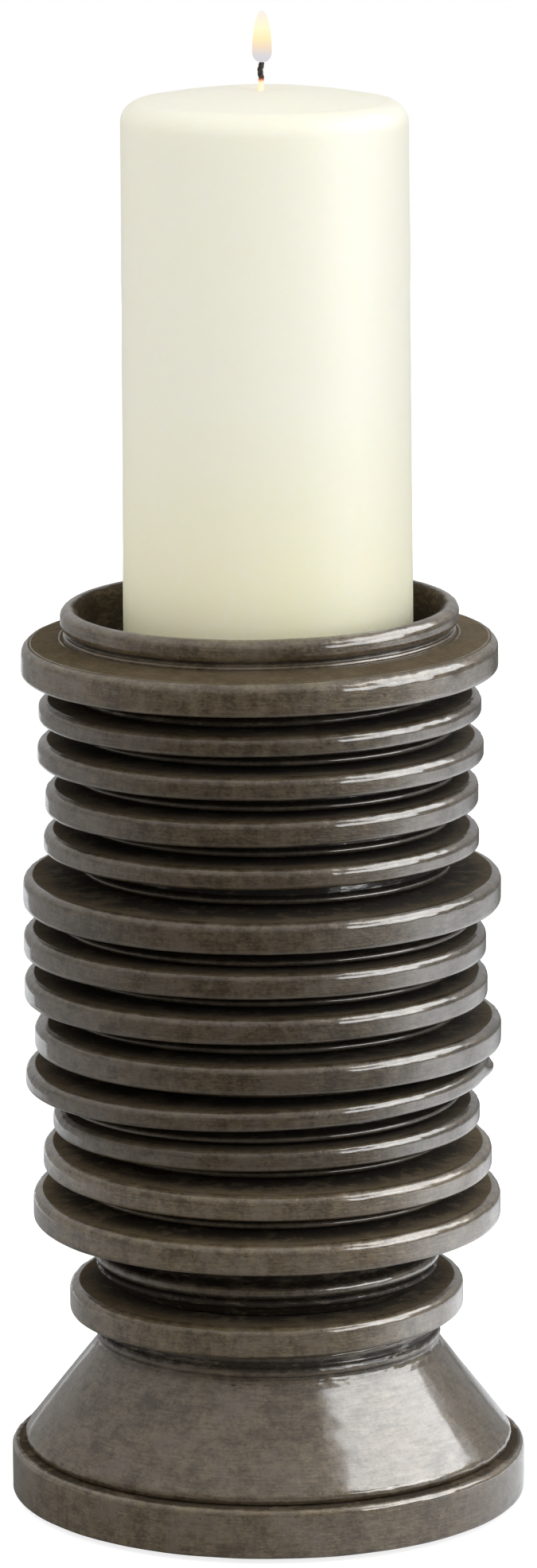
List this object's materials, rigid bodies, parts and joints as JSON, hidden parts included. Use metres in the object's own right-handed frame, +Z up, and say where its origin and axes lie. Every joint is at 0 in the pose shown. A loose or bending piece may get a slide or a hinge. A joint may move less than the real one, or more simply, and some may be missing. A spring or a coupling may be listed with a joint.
{
  "type": "pillar candlestick",
  "caption": "Pillar candlestick of stacked, hand-turned rings in a dark pewter-brown finish on a flared base, with a rolled-lip dish holding an ivory pillar candle.",
  "frame": {"origin": "centre of the felt pad's underside, on the surface the candlestick stands on", "axes": "+Z up along the tie rod, -Y towards the viewer of the picture, +X to the viewer's right"},
  "size_m": [0.138, 0.138, 0.3863],
  "materials": {
    "waxed_pewter_wood": "turned hardwood under a pewter-brown metallic paint rubbed down and waxed to a soft sheen",
    "zinc_plated_steel": "zinc plated",
    "black_felt": "pressed felt",
    "ivory_wax": "smooth moulded wax",
    "charred_cotton": "braided, burnt at the top"
  },
  "bodies": {
    "holder": {"felt_pad": "black_felt", "foot_plinth": "waxed_pewter_wood", "flared_base": "waxed_pewter_wood", "ring_01": "waxed_pewter_wood", "neck": "waxed_pewter_wood", "ring_02": "waxed_pewter_wood", "ring_03": "waxed_pewter_wood", "ring_04": "waxed_pewter_wood", "ring_05": "waxed_pewter_wood", "ring_06": "waxed_pewter_wood", "ring_07": "waxed_pewter_wood", "ring_08": "waxed_pewter_wood", "ring_09": "waxed_pewter_wood", "ring_10": "waxed_pewter_wood", "ring_11": "waxed_pewter_wood", "ring_12": "waxed_pewter_wood", "ring_13": "waxed_pewter_wood", "top_dish": "waxed_pewter_wood", "tie_rod": "zinc_plated_steel", "base_nut": "zinc_plated_steel", "base_washer": "zinc_plated_steel", "top_nut": "zinc_plated_steel", "top_washer": "zinc_plated_steel"},
    "candle": {"pillar_candle": "ivory_wax", "candle_wick": "charred_cotton"}
  },
  "joints": [
    {"name": "candle_lift", "type": "slide", "parent": "holder", "child": "candle", "axis": [0, 0, 1], "range_m": [0, 0.04]}
  ]
}
